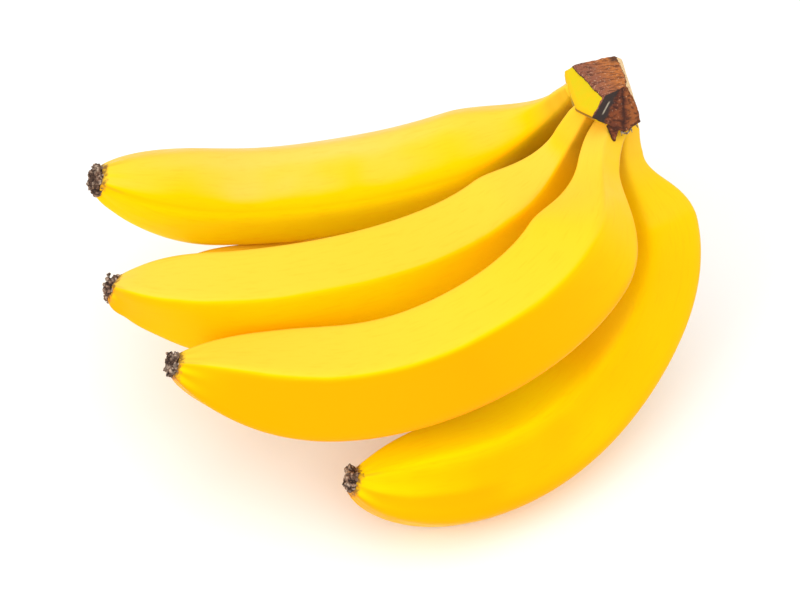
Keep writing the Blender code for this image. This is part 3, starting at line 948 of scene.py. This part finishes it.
def make_crust_finish():
    crust = Finish("dried cut", 0.85)
    crust.shader.inputs["Specular IOR Level"].default_value = 0.25
    fibre_place = crust.add("ShaderNodeMapping", {
        "Vector": crust.place, "Rotation": (0.0, 0.0, 0.5), "Scale": (0.4, 1.0, 1.0),
    }).outputs[0]
    fibres = crust.noise(900.0, 5.0, fibre_place, 0.4)
    patches = crust.noise(210.0, 3.0)
    flecks = crust.noise(1500.0, 2.0)
    blotches = crust.math("SUBTRACT", patches, 0.5)
    top = crust.mix(crust.math("ADD", crust.stored("rusty"), blotches, True), CUT_MAUVE, CUT_ORANGE)
    top = crust.mix(crust.range(fibres, 0.46, 0.66, 0.0, 0.8), top, CUT_UMBER)
    top = crust.mix(crust.range(flecks, 0.60, 0.72, 0.0, 0.7), top, CUT_FLECK)
    front = crust.mix(crust.range(patches, 0.4, 0.65), FRONT_UMBER, FRONT_RED)
    front = crust.mix(crust.stored("rust"), front, FRONT_RUST)
    front = crust.mix(crust.range(fibres, 0.44, 0.64, 0.0, 0.75), front, FRONT_DARK)
    front = crust.mix(crust.range(flecks, 0.62, 0.74, 0.0, 0.45), front, CUT_FLECK)
    front = crust.mix(crust.stored("seam"), front, FRONT_DARK)
    front = crust.mix(crust.stored("sap"), front, SAP_BLACK)
    # Painted highlight: a thin pale line on the black patch.
    front = crust.mix(crust.stored("painted_glint"), front, PAINTED_GLINT)
    colour = crust.mix(crust.stored("front"), top, front)
    colour = crust.mix(crust.stored("edge"), colour, CUT_RIM)
    crust.bump(fibres, 0.5, 0.8)
    return crust.colour(colour)


crust_finish = make_crust_finish()

# %% The crust on the top and front cuts
CRUST_DEPTH_MM = 0.9
CRUST_PROUD_MM = 0.2
CRUST_SWELL = 1.01
CORE_PAST_MM = 3.0  # the core reaches this far past the planes on which no crust is kept
CORE_SWELL = 1.3
CRUST_VOXEL_MM = 0.33
TAIL_ROOT = (75.2, 56.2, 103.6)
TAIL_TIP = (75.9, 52.6, 98.4)
TAIL_WIDTH_MM = 2.6
TAIL_POINT_MM = 0.3
TAIL_FLATNESS = 0.5


def add_tail():
    """A pointed flap of dried rind that hangs from the cut over the middle neck."""
    root, tip = at(TAIL_ROOT), at(TAIL_TIP)
    downwards = (tip - root).normalized()
    thin = (UP_FRONT - UP_FRONT.dot(downwards) * downwards).normalized()
    bpy.ops.object.mode_set(mode="EDIT")
    bpy.ops.mesh.primitive_cone_add(
        vertices=16, radius1=TAIL_WIDTH_MM * MM, radius2=TAIL_POINT_MM * MM, depth=(tip - root).length,
        location=(root + tip) / 2, rotation=square_to(thin.cross(downwards), thin),
        scale=(1, TAIL_FLATNESS, 1),
    )
    bpy.ops.object.mode_set(mode="OBJECT")


proud = {plane: -CRUST_PROUD_MM for plane in CROWN_PLANES if plane != SLIVER}
crust = cut_block("crown_crust", proud, CRUST_SWELL)
past = {plane: -CORE_PAST_MM for plane in CROWN_PLANES}
core = cut_block("core", {**past, TOP_CUT: CRUST_DEPTH_MM, FRONT_CUT: CRUST_DEPTH_MM}, CORE_SWELL)
apply_modifier(crust, "BOOLEAN", operation="DIFFERENCE", object=core)
bpy.data.objects.remove(core)
add_tail()
weather(crust, CRUST_VOXEL_MM, 2)
print("the crust has", len(crust.data.vertices), "points before its fibres are raised")

# %% [markdown]
# What the finish needs is stored on the crust: which face a point is on, how far it lies from the pad and how
# far to the right. It could be painted on as a picture, but stored numbers keep to the mesh from all sides,
# and a little noise on each makes the limits of the patches ragged. The right edge draws in at a notch, with
# the rind below it.

# %% Colours and fibres of the crust
FIBRE_MM = 0.32
FIBRE_STRETCH = np.array([0.4, 1.0, 1.0])
RUSTY_FROM = (68, 79)  # the top turns from mauve to orange on the way to the right
RUSTY_LEAN, RUSTY_MIDDLE = 0.25, 74
RUST_FROM = (79.8, 81.2)
SEAM_AT, SEAM_WIDTH_MM = 79.0, 0.8
SAP_TO_MM = (4.2, 3.0)
SAP_LEAN, SAP_TOP = 0.15, 111
# Where the painted highlight lies: how far from the pad, how wide, and between which heights.
GLINT_FROM_PAD_MM, GLINT_WIDTH_MM = 2.3, 0.2
GLINT_TOP, GLINT_BOTTOM = (111.0, 110.4), (108.0, 108.6)  # heights
FACE_TURN = (-0.12, 0.12)
FAR_CORNER = ((82.0, 85.5), (74.5, 77.0))  # to the back and to the right, from where the crust is darker
EDGE_FACING = (0.75, 0.45)
points, normals = points_of(crust), normals_of(crust)
measured = as_measured(points)
across = measured[:, 0] + 0.8 * rough(points, 2.5, 73)
front = ease(*FACE_TURN, facing(normals, FRONT_CUT) - facing(normals, TOP_CUT))
exactly_from_pad = depth_behind(points, PAD)
from_pad = exactly_from_pad + 0.7 * rough(points, 2.0, 74)
height = 0.6 * rough(points * FIBRE_STRETCH, 0.9, 71) + 0.6 * rough(points, 2.6, 72)
upright = measured[:, 2]
keep_value(crust, "front", front)
keep_value(crust, "rusty", ease(*RUSTY_FROM, across + RUSTY_LEAN * (measured[:, 1] - RUSTY_MIDDLE)))
keep_value(crust, "rust", ease(*RUST_FROM, across) * 0.85)
keep_value(crust, "seam", bell(across - SEAM_AT, SEAM_WIDTH_MM) * 0.8)
keep_value(crust, "sap", ease(*SAP_TO_MM, from_pad - SAP_LEAN * (SAP_TOP - upright)) * 0.95)
# The painted highlight: a thin pale line at a set depth below the pad, between two heights.
along_glint = ease(*GLINT_TOP, upright) * ease(*GLINT_BOTTOM, upright)
painted_glint = bell(exactly_from_pad - GLINT_FROM_PAD_MM, GLINT_WIDTH_MM) * along_glint
keep_value(crust, "painted_glint", painted_glint * 0.85)
sideways = np.maximum(facing(normals, TOP_CUT), facing(normals, FRONT_CUT))
far_corner = ease(*FAR_CORNER[0], measured[:, 1]) * ease(*FAR_CORNER[1], measured[:, 0])
keep_value(crust, "edge", np.maximum(ease(*EDGE_FACING, sideways), 0.8 * far_corner))
move_points(crust, draw_in_notch(points + normals * (height * FIBRE_MM * MM)[:, None]))
finish_piece(crust, crust_finish, "dried_cut", "crown_cut")

# %% [markdown]
# Under the lower edge of the cut a few dried fibres stick out, and one has curled into a ring. Hair curves
# could make them, but so few are quicker as meshes: a torus makes the ring and thin cones make the others.
# They sink into the crust's edge, which holds them.

# %% Loose fibres under the cut
FIBRE_GREY = (0.36, 0.29, 0.22, 1)
FIBRE_BROWN = (0.13, 0.075, 0.045, 1)
RING_PLACE = (79.9, 56.2, 101.0)
RING_RADIUS_MM = 1.35
RING_THICKNESS_MM = 0.36
LOOSE_FIBRES = (  # root, tip
    ((78.2, 56.6, 101.9), (78.6, 54.8, 99.2)),
    ((81.6, 57.2, 101.6), (82.4, 56.0, 99.6)),
    ((83.6, 58.4, 101.8), (84.6, 57.4, 100.4)),
    ((72.6, 56.8, 106.0), (72.2, 55.0, 104.6)),
)
LOOSE_FIBRE_MM = 0.42
LOOSE_TIP_MM = 0.12
LOOSE_VOXEL_MM = 0.13
LOOSE_ROUGH_MM = 0.12


def make_fibre_finish():
    fibre = Finish("loose fibre", 0.85)
    fibre.shader.inputs["Specular IOR Level"].default_value = 0.2
    streaks = fibre.noise(1300.0, 3.0)
    fibre.bump(streaks, 0.2, 0.6)
    return fibre.colour(fibre.mix(fibre.range(streaks, 0.4, 0.6), FIBRE_BROWN, FIBRE_GREY))


fibres = start_piece("crown_fibres")
bpy.ops.mesh.primitive_torus_add(
    major_radius=RING_RADIUS_MM * MM, minor_radius=RING_THICKNESS_MM * MM,
    major_segments=32, minor_segments=10,
    location=at(RING_PLACE), rotation=UP_FRONT.to_track_quat("Z", "Y").to_euler(),
)
for root, tip in LOOSE_FIBRES:
    outwards = at(tip) - at(root)
    bpy.ops.mesh.primitive_cone_add(
        vertices=10, radius1=LOOSE_FIBRE_MM * MM, radius2=LOOSE_TIP_MM * MM, depth=outwards.length,
        location=(at(root) + at(tip)) / 2, rotation=outwards.to_track_quat("Z", "Y").to_euler(),
    )
bpy.ops.object.mode_set(mode="OBJECT")
weather(fibres, LOOSE_VOXEL_MM, 1)
points = points_of(fibres)
move_points(fibres, points + normals_of(fibres) * (LOOSE_ROUGH_MM * MM * rough(points, 0.8, 81))[:, None])
finish_piece(fibres, make_fibre_finish(), "dried_cut")

# %% [markdown]
# ## Table, light and camera
#
# The hand lies on a white table. A sun lamp would draw hard shadows, so one large soft light hangs above it,
# a second stands on the left, and an even white surrounding fills the shadows. The camera looks down at 50
# degrees from two thirds of a metre away, through a long lens, as for a catalogue picture.

# %% A plain pale table
TABLE_SIZE = 6.0
TABLE_WHITE = (0.92, 0.92, 0.92, 1)
TABLE_WHITER = (0.94, 0.94, 0.94, 1)


def make_table():
    deselect()
    bpy.ops.mesh.primitive_plane_add(size=TABLE_SIZE, location=(0, 0, 0))
    table = bpy.context.active_object
    table.name = "table"
    paper = Finish("white table", 0.85)
    paper.shader.inputs["Specular IOR Level"].default_value = 0.0
    table.data.materials.append(paper.colour(paper.mix(paper.noise(3.0), TABLE_WHITE, TABLE_WHITER)))


make_table()

# %% Two soft lights and a white surrounding
WORLD_STRENGTH = 0.9
KEY_POWER = 6.5
KEY_PLACE = (0.35, -0.25, 1.2)
KEY_SIZE = 1.6
FILL_POWER = 9.0
FILL_PLACE = (-1.0, -0.8, 0.75)
FILL_SIZE = 1.0
LIGHTS_AIM = (0, 0, 0.05)


def add_softbox(name, place, power, size):
    light = bpy.data.lights.new(name, "AREA")
    light.energy = power
    light.size = size
    lamp = bpy.data.objects.new(name, light)
    lamp.location = place
    lamp.rotation_euler = (Vector(LIGHTS_AIM) - Vector(place)).to_track_quat("-Z", "Y").to_euler()
    bpy.context.collection.objects.link(lamp)
    print(name, "shines with", power, "watts")


world = bpy.data.worlds.new("white surrounding")
world.use_nodes = True
world.node_tree.nodes["Background"].inputs["Color"].default_value = (1, 1, 1, 1)
world.node_tree.nodes["Background"].inputs["Strength"].default_value = WORLD_STRENGTH
bpy.context.scene.world = world
add_softbox("softbox above", KEY_PLACE, KEY_POWER, KEY_SIZE)
add_softbox("softbox on the left", FILL_PLACE, FILL_POWER, FILL_SIZE)
bpy.context.scene.view_settings.view_transform = "Standard"

# %% The camera
CAMERA_TARGET = (0.0, 0.0, 74.1)
CAMERA_DISTANCE = 653.5
CAMERA_ELEVATION = 50
LENS = 85


def add_camera():
    tilt = radians(CAMERA_ELEVATION)
    looking = Vector((0, cos(tilt), -sin(tilt)))
    camera = bpy.data.objects.new("camera", bpy.data.cameras.new("camera"))
    camera.data.lens = LENS
    camera.location = at(CAMERA_TARGET) - looking * CAMERA_DISTANCE * MM
    camera.rotation_euler = looking.to_track_quat("-Z", "Y").to_euler()
    bpy.context.collection.objects.link(camera)
    bpy.context.scene.camera = camera
    print("camera at", [round(value, 3) for value in camera.location])


add_camera()
